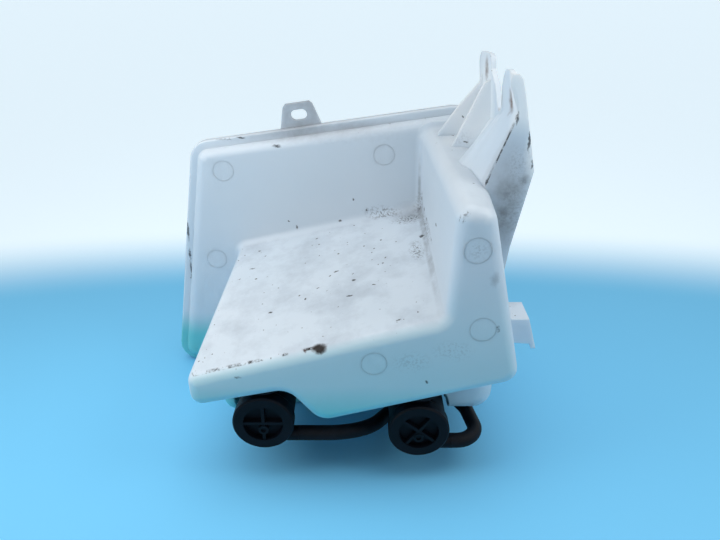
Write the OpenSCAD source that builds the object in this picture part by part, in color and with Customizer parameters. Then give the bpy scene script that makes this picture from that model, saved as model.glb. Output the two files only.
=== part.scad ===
// Washer fluid reservoir: two welded half shells, two washer pumps and their moulded hoses.
// X is right, Y is away from the viewer, Z is up, all in millimetres.
// The origin is the middle of the tank's flat foot.

/* [Tank] */
// Wall thickness of both half shells
wall = 2.5; // [2:0.1:3]
// Width of the weld flange outside the walls
flange_rim = 5.5; // [4.5:0.5:7]
// Thickness of the weld flange on each half
flange_thickness = 3; // [2.5:0.5:4]
// How far the rear panel stands in front of the weld line
panel_depth = 10; // [9:0.5:12]
// How far the front face stands in front of the weld line
front_depth = 144; // [140:1:150]
// How far the rear half bulges behind the weld line
rear_depth = 44; // [36:1:56]
// How far the sump reaches in front of the weld line
sump_depth = 62; // [58:1:64]
// Height of the underside behind the pumps, above the foot
underside = 35; // [33:0.5:37]
// Rounding of the edge around the front face
front_edge = 6.5; // [5:0.5:7]
// Fillet where the body meets the rear panel
panel_fillet = 5; // [3:0.5:5.5]

/* [Fixings] */
// Height of the slotted tab above the weld flange
tab_height = 16; // [14:0.5:20]
// Length of the slot in the tab
slot_length = 11; // [9:0.5:13]
// Width of the slot in the tab
slot_width = 7; // [5:0.5:8]
// Thickness of the fork and hook plates
plate = 3; // [2.5:0.5:4]
// Height of the fork's prong tips above the foot
prong_height = 239; // [232:1:244]
// Radius of the filler inlet's bore
filler_radius = 14.5; // [12:0.5:16]
// Length of the filler inlet's collar outside the rear wall
filler_length = 14; // [10:1:20]

/* [Pumps] */
// Outer radius of a pump's end cap
cap_radius = 18; // [17.5:0.1:18.5]
// Height of the left pump's axis above the foot
left_pump_height = 44.7; // [43.5:0.1:46]
// Height of the right pump's axis above the foot
right_pump_height = 38.8; // [38:0.1:40]
// Distance of the left pump's axis to the left of the middle
left_pump_side = 56.5; // [55.5:0.1:57.5]
// Distance of the right pump's axis to the right of the middle
right_pump_side = 34.6; // [33.8:0.1:35.4]
// Turn of the right cap's spokes
right_cap_turn = 38; // [0:1:90]
// Radius of the motor shaft
shaft_radius = 1; // [0.9:0.05:1.2]
// Running gap between the shaft and its bushes
running_gap = 0.03; // [0.02:0.01:0.06]

/* [Hoses] */
// Outer radius of the hoses
hose_radius = 4.5; // [4:0.1:4.7]
// Inner radius of the hoses
hose_bore = 2.75; // [2.4:0.05:3]
// Bend radius of the right hose's loop
loop_radius = 13; // [12:0.5:14]
// Bend radius of the left hose
sweep_radius = 34; // [30:1:36]

/* [Hidden] */
$fn = 48;

// The weld line stands this far behind the origin, so that the origin is the middle of the foot.
weld_y = 33;

// Outlines are [X, Z] points that run anticlockwise seen from the front, with the rounding of each corner.
flange_outline = [[-143, 0], [103, 0], [77, 202], [-115, 175]];
flange_rounding = [14, 14, 16, 14];
// The body's outline at the front face and where it meets the rear panel. Its points are, in order:
// underside left, top of the step, foot of the step, lower right, arm top right, arm top left,
// seat corner at the arm, seat left.
body_front = [[-96, 60], [-41, 71.5], [-23, 49], [89, 78.5], [67, 178], [48, 183], [45, 117], [-97, 80]];
body_back = [[-88, 50], [-42, 52], [-25, 48], [89, 56], [72, 187.5], [41, 186], [43, 131], [-86, 101.5]];
body_rounding = [7, 12, 12, 9, 9, 8, 7, 6];
sump_front = [[-88, 0], [30, 0], [30, 84], [-82, 84]];
sump_back = [[-96, 0], [32, 0], [32, 100], [-86, 98]];
sump_rounding = [8, 8, 3, 3];
bay_front = [[25, underside], [82, underside], [80, 90], [25, 78]];
bay_back = [[25, underside], [89, underside], [86, 100], [25, 90]];
bay_rounding = [8, 12, 3, 3];
rib_front = [[-84, underside], [-62, underside], [-62, 80], [-86, 80]];
rib_rounding = [8, 4, 3, 3];

// Pump sizes along its axis, from the cap's face backwards.
pump_face = front_depth - 6;
cap_depth = 4.5;
cap_seat = 3;
body_radius = cap_radius - 1;
bore_radius = body_radius - 1.6;
chamber_end = 16;
web_end = 19;
motor_end = 52;
cover_end = 58;
// The motor's magnets and armature, along the same axis.
magnet_start = 24;
magnet_length = 19;
magnet_bore = bore_radius - 3.5;
air_gap = 1.3;
core_start = 27;
core_length = 13;
core_radius = magnet_bore - air_gap;
inlet_along = 12;
outlet_along = 4.5;
outlet_drop = 13.5;
// The right nozzle ends where its hose starts to bend.
nozzle_end = [30, 39 - loop_radius * 1.2];
pad_offset = [22.9, 24.6];
pad_radius = 12.2;
flange_radius = 12.6;
pad_seat = 3.5;
grommet_radius = 8;
// Loose parts sit this far off the faces that hold them.
fit_gap = 0.1;
spigot_radius = 6;
// The boss round the spigot's foot.
boss_radius = 7.2;
boss_length = 8;
pocket_radius = cap_radius + 2.5;
// The pockets end this far in front of the weld line.
pocket_end = 42;
pocket_depth = pump_face - pocket_end;

white = [0.86, 0.9, 0.93];
black = [0.09, 0.09, 0.11];
rubber = [0.14, 0.14, 0.15];
steel = [0.6, 0.61, 0.63];
copper = [0.72, 0.42, 0.2];

function unit(v) = v / norm(v);
function left_of(v) = [-v[1], v[0]];
function spin(v, a) = [v[0] * cos(a) - v[1] * sin(a), v[0] * sin(a) + v[1] * cos(a)];
function mix(a, b, t) = a + (b - a) * t;
function mix_outline(a, b, t) = [for (i = [0 : len(a) - 1]) mix(a[i], b[i], t)];
function wrap(list, i) = list[(i + len(list)) % len(list)];

// One rounded corner of an outline whose edges have moved inwards by inset.
function corner_points(before, here, after, rounding, inset, steps) =
    let (
        a = unit(here - before),
        b = unit(after - here),
        moved = here + (left_of(a) + left_of(b)) * inset / (1 + left_of(a) * left_of(b)),
        turn = atan2(a[0] * b[1] - a[1] * b[0], a * b),
        side = turn > 0 ? 1 : -1,
        radius = max(0.4, rounding - side * inset),
        start = moved - a * radius * tan(abs(turn) / 2),
        middle = start + left_of(a) * side * radius
    )
    [for (k = [0 : steps]) middle + spin(start - middle, turn * k / steps)];

function ring(outline, rounding, inset, steps) = [
    for (i = [0 : len(outline) - 1])
        let (before = wrap(outline, i - 1), after = wrap(outline, i + 1))
            for (p = corner_points(before, outline[i], after, rounding[i], inset, steps)) p
];

// A skin through rings, from the back to the front.
// Stations are [distance in front of the weld line, inset].
module skin(back, front, rounding, from, to, stations, steps = 5) {
    rings = [
        for (s = stations)
            [for (p = ring(mix_outline(back, front, (s[0] - from) / (to - from)), rounding, s[1], steps))
                [p[0], weld_y - s[0], p[1]]]
    ];
    count = len(rings[0]);
    last = len(rings) - 1;
    points = [for (r = rings) for (p = r) p];
    sides = [
        for (r = [0 : last - 1])
            for (i = [0 : count - 1])
                let (next = (i + 1) % count)
                    [(r + 1) * count + i, (r + 1) * count + next, r * count + next, r * count + i]
    ];
    back_cap = [for (i = [0 : count - 1]) i];
    front_cap = [for (i = [count - 1 : -1 : 0]) last * count + i];
    polyhedron(points = points, faces = concat(sides, [back_cap], [front_cap]), convexity = 10);
}

// Stations of a rounded front edge.
function rounded_end(end, radius, base = 0, steps = 4) = [
    for (k = [0 : steps])
        [end - radius + radius * sin(90 * k / steps), base + radius * (1 - cos(90 * k / steps))]
];
// Stations of a hollow fillet that runs out of a panel.
function fillet_out(start, radius, steps = 3) = [
    for (k = [0 : steps])
        [start + radius - radius * cos(90 * k / steps), -radius + radius * sin(90 * k / steps)]
];

module slab_form(inset) {
    stations = concat([[inset > 0 ? -1 : 0, flange_rim + inset]],
        rounded_end(panel_depth - inset, 6 - inset / 2, flange_rim + inset));
    skin(flange_outline, flange_outline, flange_rounding, 0, panel_depth, stations);
}

module body_form(inset) {
    stations = concat(
        inset > 0 ? [[1, inset]] : concat([[1, -panel_fillet]], fillet_out(panel_depth, panel_fillet)),
        [for (t = [0.25, 0.5, 0.75]) [mix(panel_depth, front_depth, t), inset]],
        rounded_end(front_depth - inset, front_edge - inset / 2, inset));
    skin(body_back, body_front, body_rounding, panel_depth, front_depth, stations);
}

module sump_form(inset) {
    stations = concat([[1, inset]], rounded_end(sump_depth - inset, 6 - inset / 2, inset));
    skin(sump_back, sump_front, sump_rounding, 1, sump_depth, stations);
}

module bay_form(inset) {
    stations = concat([[1, inset]], rounded_end(115 - inset, 10 - inset / 2, inset));
    skin(bay_back, bay_front, bay_rounding, 1, 115, stations);
}

module rib_form() {
    stations = concat([[40, 0]], rounded_end(115, 7, 0));
    skin(rib_front, rib_front, rib_rounding, 40, 115, stations);
}

// Sides: 0 is the left pump, 1 is the right pump.
pump_x = [-left_pump_side, right_pump_side];
pump_z = [left_pump_height, right_pump_height];
cap_turn = [0, right_cap_turn];

// A pump's own frame: local Z runs back from the cap's face, local Y points down.
module at_pump(side) {
    translate([pump_x[side], weld_y - pump_face, pump_z[side]])
        rotate([-90, 0, 0])
            children();
}

// An upright frame on the pump pad's lower face.
module at_pad(side) {
    translate([pump_x[side], weld_y - pump_face + inlet_along, pump_z[side] + pad_offset[side]])
        children();
}

module flange_plate(front) {
    stations = front ? [[0, 0], [flange_thickness - 0.8, 0], [flange_thickness, 0.8]]
                     : [[-flange_thickness, 0.8], [0.8 - flange_thickness, 0], [0, 0]];
    skin(flange_outline, flange_outline, flange_rounding, 0, 1, stations);
}

// The fork stands on the arm's top. Its web leans outwards, bends, and stands upright up to its two prongs.
fork_root = 174;
fork_foot = 184;
// Stations along the web:
// [distance in front of the weld line, side at its foot, side at the bend, height of the bend,
// side at the top, how far the top edge lies below the prong tips].
fork_stations = [
    // The rear prong, rounded at both corners of its top.
    [20, 64, 77, 203, 74, 8],
    [21, 64.2, 77.1, 203, 74, 4.5],
    [23.5, 64.7, 77.4, 203, 74, 2],
    [27, 65, 77.5, 203, 74.2, 0.8],
    [42, 67, 78, 202.5, 75.6, 0],
    [45.5, 67.4, 78, 202.5, 75.8, 1.2],
    [48, 67.6, 78, 202.6, 76, 4],
    [49, 67.6, 78, 203, 76, 8],
    // The notch between the prongs.
    [60, 65, 78, 205, 77, 15],
    [70, 58.5, 77.2, 209, 76.9, 23],
    [75, 56.6, 76.8, 211, 76.6, 25],
    [81, 57.6, 76.4, 212, 76.2, 25],
    [86, 60.5, 76.4, 213.5, 75.8, 23],
    [88.4, 61.7, 76.5, 215, 75.4, 20],
    // The front prong, rounded the same way.
    [89, 62, 76.5, 215.5, 75, 10],
    [90.2, 62.3, 76.6, 216, 75, 5],
    [92.5, 62.7, 77, 217, 75, 1.8],
    [96, 63.2, 77.6, 218, 75, 0.3],
    [104, 64.6, 78.8, 219, 74.8, 0],
    [108, 65.4, 79.5, 219, 74.6, 1],
    [110, 65.8, 79.9, 219, 74.5, 3],
    [111, 66, 80, 219, 74.4, 6]
];
module fork_web() {
    points = [
        for (s = fork_stations)
            let (side = [[s[1], fork_root], [s[1], fork_foot], [s[2], s[3]], [s[4], prong_height - s[5]]])
                for (p = concat([for (at = side) at + [plate, 0]], [for (k = [3 : -1 : 0]) side[k]]))
                    [p[0], weld_y - s[0], p[1]]
    ];
    ring_size = 8;
    last = len(fork_stations) - 1;
    sides = [
        for (i = [0 : last - 1])
            for (k = [0 : ring_size - 1])
                let (here = i * ring_size, there = here + ring_size, next = (k + 1) % ring_size)
                    [there + k, there + next, here + next, here + k]
    ];
    back_cap = [for (k = [0 : ring_size - 1]) k];
    front_cap = [for (k = [ring_size - 1 : -1 : 0]) last * ring_size + k];
    polyhedron(points = points, faces = concat(sides, [back_cap], [front_cap]), convexity = 8);
}

// A plate that faces the viewer, given as [X, Z] points.
module facing_plate(points, depth, thickness = plate) {
    translate([0, weld_y - depth + thickness, 0])
        rotate([90, 0, 0])
            linear_extrude(thickness)
                polygon(points);
}

module fork() {
    fork_web();
    facing_plate([[62, fork_root], [66, fork_foot - 3], [80, 219], [78.5, 227], [74.6, prong_height - 3],
        [75, prong_height - 0.6], [78.6, prong_height - 0.6], [80.4, prong_height - 3], [82.6, 228],
        [91, 189], [82.6, 146], [81, 132], [76, 128], [62, 150]], 111.4);
    facing_plate([[47, 180], [50, 187], [62, 204.5], [74, 219], [75, 224], [77, 224], [78.5, 203], [66, 186],
        [62, 180]], 26);
    facing_plate([[52, 180], [57, 187], [73, 223], [77, 225], [79, 202.5], [68.6, 186], [64, 180]], 49);
}

// The hook on the right wall hangs over a body bracket.
module hook() {
    translate([78, weld_y - 110, 99 - plate])
        cube([21, 21, plate]);
    facing_plate([[78, 99], [99, 99], [103, 82], [78, 84]], 110);
    hull() {
        translate([99 - plate, weld_y - 110, 99 - plate])
            cube([plate, 21, plate]);
        translate([105 - plate, weld_y - 110, 79])
            cube([plate - 0.5, 21, 1]);
    }
}

module pockets(grow) {
    for (side = [0, 1])
        at_pump(side)
            translate([0, 0, -20])
                cylinder(r = pocket_radius + grow, h = 20 + pocket_depth + grow);
}

// Behind the pads, the pumps' backs also need room in the body's underside.
module back_pockets() {
    for (side = [0, 1])
        at_pump(side)
            translate([0, 0, inlet_along + flange_radius])
                cylinder(r = cap_radius + 0.8, h = pocket_depth - inlet_along - flange_radius);
}

// A pump that hangs higher gets its room in the body's underside too.
module front_pockets() {
    for (side = [0, 1])
        at_pump(side)
            translate([0, 0, -20])
                cylinder(r = cap_radius + 0.8, h = 20 + inlet_along + flange_radius);
}

module pads() {
    for (side = [0, 1])
        at_pad(side)
            cylinder(r = pad_radius, h = 14);
}

// Each pad stays solid inside the tank, out to a wall's thickness round its spot face.
module pad_blocks() {
    for (side = [0, 1])
        at_pad(side)
            translate([0, 0, -6])
                cylinder(r = flange_radius + 0.5 + wall, h = pad_seat + 6);
}

// Each hole has a spot face, where the grommet's flange lies flat against the sloping underside.
module pad_holes() {
    for (side = [0, 1])
        at_pad(side) {
            translate([0, 0, -6])
                cylinder(r = flange_radius + 0.5, h = 6);
            translate([0, 0, -boss_length - 2])
                cylinder(r = boss_radius + 0.8, h = boss_length + 2);
            translate([0, 0, -1])
                cylinder(r = grommet_radius / cos(180 / $fn), h = 12);
            translate([0, 0, pad_seat])
                cylinder(r = grommet_radius + 2.2, h = 6);
        }
}

// Clips under the bay hold the hoses.
clip_along = pocket_end - 9;
left_clip = [46, clip_along, 15];
right_clip = [60, clip_along, 26];
module hose_clip(place) {
    translate([place[0], weld_y - place[1], place[2]])
        difference() {
            union() {
                rotate([90, 0, 0])
                    cylinder(r = hose_radius + 2, h = 6);
                translate([-2, -6, 0])
                    cube([4, 6, underside - place[2] + 1.5]);
            }
            translate([0, 1, 0])
                rotate([90, 0, 0])
                    cylinder(r = hose_radius + 0.05, h = 8);
        }
}

// The whole moulding is one free-form skin, so it is handed on as one mesh.
module front_shell() {
    color(white)
        resize([0, 0, 0])
            difference() {
                union() {
                    slab_form(0);
                    difference() {
                        body_form(0);
                        front_pockets();
                    }
                    difference() {
                        union() {
                            sump_form(0);
                            bay_form(0);
                            rib_form();
                        }
                        pockets(0);
                    }
                    pads();
                    flange_plate(true);
                    fork();
                    hook();
                    hose_clip(left_clip);
                    hose_clip(right_clip);
                }
                difference() {
                    union() {
                        slab_form(wall);
                        body_form(wall);
                        sump_form(wall);
                        bay_form(wall);
                    }
                    pockets(wall);
                    pad_blocks();
                }
                pad_holes();
                back_pockets();
            }
}

// The fixing tab stands on the flange's top edge, which rises to the right.
flange_rise = (flange_outline[2][1] - flange_outline[3][1]) / (flange_outline[2][0] - flange_outline[3][0]);
tab_middle = -40;
tab_foot = flange_outline[3][1] + (tab_middle - flange_outline[3][0]) * flange_rise;
module tab() {
    translate([tab_middle, weld_y + flange_thickness, tab_foot])
        rotate([90, -atan(flange_rise), 0])
            linear_extrude(flange_thickness)
                difference() {
                    polygon([[-14, -3], [14, -3], [14, 0], [10, tab_height - 2], [8, tab_height],
                             [-8, tab_height], [-10, tab_height - 2], [-14, 0]]);
                    translate([0, tab_height / 2])
                        union() {
                            square([slot_length - slot_width, slot_width], center = true);
                            for (s = [-1, 1])
                                translate([s * (slot_length - slot_width) / 2, 0])
                                    circle(d = slot_width);
                        }
                }
}

module rear_form(inset) {
    depth = -(rear_depth - inset);
    edge = 14 - inset;
    stations = concat(
        [for (k = [0 : 4])
            [depth + edge - edge * cos(22.5 * k), flange_rim + inset + 2 + edge - edge * sin(22.5 * k)]],
        [[inset > 0 ? 1 : 0, flange_rim + inset]]);
    skin(flange_outline, flange_outline, flange_rounding, 0, 1, stations);
}

filler_place = [-40, 128];
module rear_shell() {
    color(white)
        difference() {
            union() {
                resize([0, 0, 0])
                    difference() {
                        union() {
                            rear_form(0);
                            flange_plate(false);
                            tab();
                        }
                        rear_form(wall);
                    }
                translate([filler_place[0], weld_y + rear_depth - wall - 3, filler_place[1]])
                    rotate([-90, 0, 0])
                        cylinder(r = filler_radius + wall, h = wall + 3 + filler_length);
            }
            translate([filler_place[0], weld_y + rear_depth - wall - 4, filler_place[1]])
                rotate([-90, 0, 0])
                    cylinder(r = filler_radius, h = wall + 5 + filler_length);
        }
}

// Pump pieces, each in the pump's own frame.
module pump_grommet() {
    neck = grommet_radius - fit_gap;
    lip = pad_seat + fit_gap;
    rotate_extrude()
        polygon([[spigot_radius, -1.5], [flange_radius, -1.5], [flange_radius, -fit_gap],
            [neck, -fit_gap], [neck, lip],
                 [grommet_radius + 1.6, lip], [neck, lip + 3], [spigot_radius, lip + 3]]);
}

module pump_housing(side) {
    rise = pad_offset[side];
    difference() {
        union() {
            rotate_extrude()
                polygon([[bore_radius, cap_depth], [cap_radius, cap_depth], [cap_radius, cap_depth + 3],
                         [body_radius, cap_depth + 5], [body_radius, motor_end], [bore_radius, motor_end],
                         [bore_radius, web_end], [4, web_end], [4, chamber_end], [bore_radius, chamber_end]]);
            translate([0, -rise + 2, inlet_along])
                rotate([-90, 0, 0])
                    cylinder(r = boss_radius, h = boss_length);
            translate([0, -rise - 8, inlet_along])
                rotate([-90, 0, 0])
                    cylinder(r = spigot_radius, h = 14);
            translate([4, outlet_drop, outlet_along + 4.5])
                rotate([0, 90, 0])
                    cylinder(r = 4.5, h = 15.5);
            translate([10, outlet_drop, outlet_along + 4.5])
                rotate([0, 90, 0])
                    cylinder(r = hose_bore, h = nozzle_end[side] - 10);
        }
        translate([0, 0, chamber_end])
            mirror([0, 0, 1])
                cylinder(r = bore_radius, h = 12);
        translate([0, 0, web_end])
            cylinder(r = bore_radius, h = 40);
        translate([0, -rise - 9, inlet_along])
            rotate([-90, 0, 0])
                cylinder(r = 3.8, h = 20);
        translate([4, outlet_drop - 1, outlet_along + 4.5])
            rotate([0, 90, 0])
                cylinder(r = 1.7, h = nozzle_end[side]);
    }
}

module pump_end_cap(turn) {
    spigot = bore_radius - fit_gap;
    seat = cap_depth - fit_gap;
    rotate([0, 0, turn])
        difference() {
            union() {
                difference() {
                    rotate_extrude()
                        polygon([[0, 0], [cap_radius - 1, 0], [cap_radius, 1], [cap_radius, seat],
                                 [spigot, seat], [spigot, cap_depth + cap_seat],
                                 [spigot - 1.5, cap_depth + cap_seat], [spigot - 1.5, seat], [0, seat]]);
                    translate([0, 0, -1])
                        cylinder(r = cap_radius * 0.65, h = 5);
                }
                for (a = [0, 90])
                    rotate([0, 0, a])
                        translate([-cap_radius * 0.67, -0.9, 0.6])
                            cube([cap_radius * 1.34, 1.8, 4]);
                rotate([0, 0, -turn])
                    translate([0, 4.5, 0.2])
                        cylinder(r = 3, h = 4.4);
            }
            rotate([0, 0, -turn])
                translate([0, 4.5, -1])
                    cylinder(r = 1.6, h = 2.2);
        }
}

module pump_impeller() {
    difference() {
        union() {
            translate([0, 0, 13])
                cylinder(r = 10.5, h = 1.4);
            translate([0, 0, 9.5])
                cylinder(r = 3, h = 4);
            for (a = [0 : 60 : 300])
                rotate([0, 0, a])
                    translate([2.5, -0.6, 9.8])
                        cube([7.5, 1.2, 3.6]);
        }
        translate([0, 0, 9])
            cylinder(r = shaft_radius, h = 7);
    }
}

module pump_shaft() {
    translate([0, 0, 9.2])
        cylinder(r = shaft_radius, h = 41);
}

module pump_shaft_seal() {
    rotate_extrude()
        polygon([[shaft_radius + running_gap, chamber_end + 0.4], [4, chamber_end + 0.4], [4, web_end],
                 [2.4, web_end], [shaft_radius + running_gap, web_end - 0.8]]);
}

module pump_motor_can() {
    rotate_extrude()
        polygon([[3, web_end], [bore_radius, web_end], [bore_radius, 48], [bore_radius - 1, 48],
                 [bore_radius - 1, web_end + 1], [3, web_end + 1]]);
}

module pump_front_bush() {
    rotate_extrude()
        polygon([[shaft_radius + running_gap, web_end + 0.2], [3, web_end + 0.2], [3, web_end + 1],
                 [4, web_end + 1], [3.4, web_end + 4], [shaft_radius + running_gap, web_end + 4]]);
}

module pump_magnets() {
    for (a = [0, 180])
        rotate([0, 0, a - 65])
            translate([0, 0, magnet_start])
                rotate_extrude(angle = 130)
                    translate([magnet_bore, 0])
                        square([2.4 - fit_gap / 2, magnet_length]);
}

module pump_armature_core() {
    difference() {
        union() {
            translate([0, 0, core_start])
                cylinder(r = 4.5, h = core_length);
            for (a = [0, 120, 240])
                rotate([0, 0, a]) {
                    translate([3.5, -1.8, core_start])
                        cube([core_radius - 5.1, 3.6, core_length]);
                    rotate([0, 0, -48])
                        translate([0, 0, core_start])
                            rotate_extrude(angle = 96)
                                translate([core_radius - 2.2, 0])
                                    square([2.2, core_length]);
                }
        }
        translate([0, 0, core_start - 1])
            cylinder(r = shaft_radius, h = core_length + 2);
    }
}

module pump_windings() {
    for (a = [0, 120, 240])
        rotate([0, 0, a])
            difference() {
                translate([4.9, -3.6, core_start - 1.4])
                    cube([2.5, 7.2, core_length + 2.8]);
                translate([4.5, -1.8, core_start])
                    cube([4, 3.6, core_length]);
            }
}

module pump_commutator() {
    difference() {
        translate([0, 0, 42])
            cylinder(r = 3, h = 4.8);
        translate([0, 0, 41])
            cylinder(r = shaft_radius, h = 7);
        for (a = [0, 120, 240])
            rotate([0, 0, a])
                translate([2.4, -0.2, 43])
                    cube([1, 0.4, 5]);
    }
}

module pump_brush_plate() {
    difference() {
        union() {
            translate([0, 0, 48])
                cylinder(r = bore_radius - fit_gap, h = 3);
            for (s = [-1, 1])
                translate([s * 6 - 2, -2.6, 42.6])
                    cube([4, 5.2, 6]);
        }
        translate([0, 0, 46])
            cylinder(r = shaft_radius + running_gap, h = 6);
        for (s = [-1, 1])
            translate([s * 6 - 4, -1.4, 43.4])
                cube([8, 2.8, 3]);
    }
}

module pump_brushes() {
    for (s = [-1, 1])
        difference() {
            translate([s * 5.4 - 2.6, -1.4, 43.4])
                cube([5.2, 2.8, 3]);
            translate([0, 0, 43])
                cylinder(r = 3.03, h = 4);
        }
}

module pump_rear_cover() {
    difference() {
        union() {
            translate([0, 0, motor_end])
                cylinder(r = body_radius, h = cover_end - motor_end);
            translate([-8, -5.5, cover_end - 1])
                cube([16, 11, 15]);
        }
        translate([-6.4, -3.9, cover_end + 2])
            cube([12.8, 7.8, 15]);
        translate([0, 0, motor_end - 1])
            cylinder(r = bore_radius - 2, h = 4);
        for (s = [-1, 1])
            translate([s * 3 - 0.8, -0.4, motor_end + 2])
                cube([1.6, 0.8, 10]);
    }
}

module pump_terminals() {
    for (s = [-1, 1])
        translate([s * 3 - 0.8, -0.4, motor_end])
            cube([1.6, 0.8, 15]);
}

// Hoses: straight runs and round bends along a list of points, as one swept tube.
hose_sides = 24;
function cross3(a, b) = [a[1] * b[2] - a[2] * b[1], a[2] * b[0] - a[0] * b[2], a[0] * b[1] - a[1] * b[0]];
function across(v, t) = unit(v - t * (v * t));

// The places and headings along one bend.
function bend_stations(before, here, after, bend) =
    let (
        a = unit(here - before),
        b = unit(after - here),
        angle = acos(a * b),
        inward = across(b, a),
        start = here - a * bend * tan(angle / 2),
        steps = max(2, ceil(angle / 7))
    )
    [for (k = [0 : steps])
        let (w = angle * k / steps)
        [start + inward * bend * (1 - cos(w)) + a * bend * sin(w), a * cos(w) + inward * sin(w)]];

function hose_stations(points, radii) =
    let (last = len(points) - 1)
    concat(
        [[points[0], unit(points[1] - points[0])]],
        [for (i = [1 : last - 1])
            for (s = bend_stations(points[i - 1], points[i], points[i + 1], radii[i - 1])) s],
        [[points[last], unit(points[last] - points[last - 1])]]);

// Each ring's first spoke is the one before it, carried along without twist.
function carried(stations, spokes) =
    len(spokes) == len(stations) ? spokes :
    carried(stations, concat(spokes, [across(spokes[len(spokes) - 1], stations[len(spokes)][1])]));

function hose_ring(station, spoke, radius) =
    [for (k = [0 : hose_sides - 1])
        let (w = 360 * k / hose_sides)
        station[0] + (spoke * cos(w) + cross3(station[1], spoke) * sin(w)) * radius];

module hose(points, radii) {
    stations = hose_stations(points, radii);
    spokes = carried(stations, [across([0, 0, 1], stations[0][1])]);
    count = len(stations);
    n = hose_sides;
    // The bore's flats, not its corners, lie on the bore's radius, so that a round spigot fits.
    bore = hose_bore / cos(180 / n);
    outer = [for (i = [0 : count - 1]) for (p = hose_ring(stations[i], spokes[i], hose_radius)) p];
    inner = [for (i = [0 : count - 1]) for (p = hose_ring(stations[i], spokes[i], bore)) p];
    base = count * n;
    end = (count - 1) * n;
    outer_faces = [for (i = [0 : count - 2]) for (k = [0 : n - 1])
        [i * n + k, (i + 1) * n + k, (i + 1) * n + (k + 1) % n, i * n + (k + 1) % n]];
    inner_faces = [for (i = [0 : count - 2]) for (k = [0 : n - 1])
        let (next = (k + 1) % n)
            [base + i * n + k, base + i * n + next, base + (i + 1) * n + next, base + (i + 1) * n + k]];
    start_faces = [for (k = [0 : n - 1]) [k, (k + 1) % n, base + (k + 1) % n, base + k]];
    end_faces = [for (k = [0 : n - 1])
        [end + k, base + end + k, base + end + (k + 1) % n, end + (k + 1) % n]];
    faces = concat(outer_faces, inner_faces, start_faces, end_faces);
    polyhedron(points = concat(outer, inner), faces = faces, convexity = 6);
}

hose_y = weld_y - pump_face + outlet_along + 4.5;
left_hose_z = pump_z[0] - outlet_drop;
right_hose_z = pump_z[1] - outlet_drop;
nozzle_root = 19.7;
left_end = [left_clip[0], weld_y - clip_along + 5, left_clip[2]];
right_end = [right_clip[0], weld_y - clip_along + 5, right_clip[2]];
left_path = [
    [pump_x[0] + nozzle_root, hose_y, left_hose_z],
    [3, hose_y, left_hose_z],
    [22, weld_y - 88, 17],
    [left_clip[0], weld_y - 66, left_clip[2]],
    left_end
];
left_radii = [sweep_radius, 12, 12];
right_path = [
    [pump_x[1] + nozzle_root, hose_y, right_hose_z],
    [pump_x[1] + 39, hose_y, right_hose_z],
    [pump_x[1] + 34, weld_y - 98, right_hose_z],
    [right_clip[0], weld_y - 82, right_clip[2]],
    right_end
];
right_radii = [loop_radius, 14, 12];

module joiner(place) {
    translate(place)
        rotate([-90, 0, 0])
            rotate_extrude()
                polygon([[1.6, -9], [hose_bore, -9], [hose_bore, 0], [hose_radius, 0], [hose_radius, 2],
                         [hose_bore, 2], [hose_bore, 6], [hose_bore + 0.7, 6.4], [hose_bore - 0.4, 10],
                         [1.6, 10]]);
}

module left_grommet() { color(rubber) at_pad(0) pump_grommet(); }
module left_housing() { color(black) at_pump(0) pump_housing(0); }
module left_end_cap() { color(black) at_pump(0) pump_end_cap(cap_turn[0]); }
module left_impeller() { color(black) at_pump(0) pump_impeller(); }
module left_shaft() { color(steel) at_pump(0) pump_shaft(); }
module left_shaft_seal() { color(rubber) at_pump(0) pump_shaft_seal(); }
module left_motor_can() { color(steel) at_pump(0) pump_motor_can(); }
module left_front_bush() { color(copper) at_pump(0) pump_front_bush(); }
module left_magnets() { color(black) at_pump(0) pump_magnets(); }
module left_armature_core() { color(steel) at_pump(0) pump_armature_core(); }
module left_windings() { color(copper) at_pump(0) pump_windings(); }
module left_commutator() { color(copper) at_pump(0) pump_commutator(); }
module left_brush_plate() { color(black) at_pump(0) pump_brush_plate(); }
module left_brushes() { color(black) at_pump(0) pump_brushes(); }
module left_rear_cover() { color(black) at_pump(0) pump_rear_cover(); }
module left_terminals() { color(steel) at_pump(0) pump_terminals(); }
module right_grommet() { color(rubber) at_pad(1) pump_grommet(); }
module right_housing() { color(black) at_pump(1) pump_housing(1); }
module right_end_cap() { color(black) at_pump(1) pump_end_cap(cap_turn[1]); }
module right_impeller() { color(black) at_pump(1) pump_impeller(); }
module right_shaft() { color(steel) at_pump(1) pump_shaft(); }
module right_shaft_seal() { color(rubber) at_pump(1) pump_shaft_seal(); }
module right_motor_can() { color(steel) at_pump(1) pump_motor_can(); }
module right_front_bush() { color(copper) at_pump(1) pump_front_bush(); }
module right_magnets() { color(black) at_pump(1) pump_magnets(); }
module right_armature_core() { color(steel) at_pump(1) pump_armature_core(); }
module right_windings() { color(copper) at_pump(1) pump_windings(); }
module right_commutator() { color(copper) at_pump(1) pump_commutator(); }
module right_brush_plate() { color(black) at_pump(1) pump_brush_plate(); }
module right_brushes() { color(black) at_pump(1) pump_brushes(); }
module right_rear_cover() { color(black) at_pump(1) pump_rear_cover(); }
module right_terminals() { color(steel) at_pump(1) pump_terminals(); }
module left_hose() { color(rubber) hose(left_path, left_radii); }
module right_hose() { color(rubber) hose(right_path, right_radii); }
module left_joiner() { color(black) joiner(left_end); }
module right_joiner() { color(black) joiner(right_end); }

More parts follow.
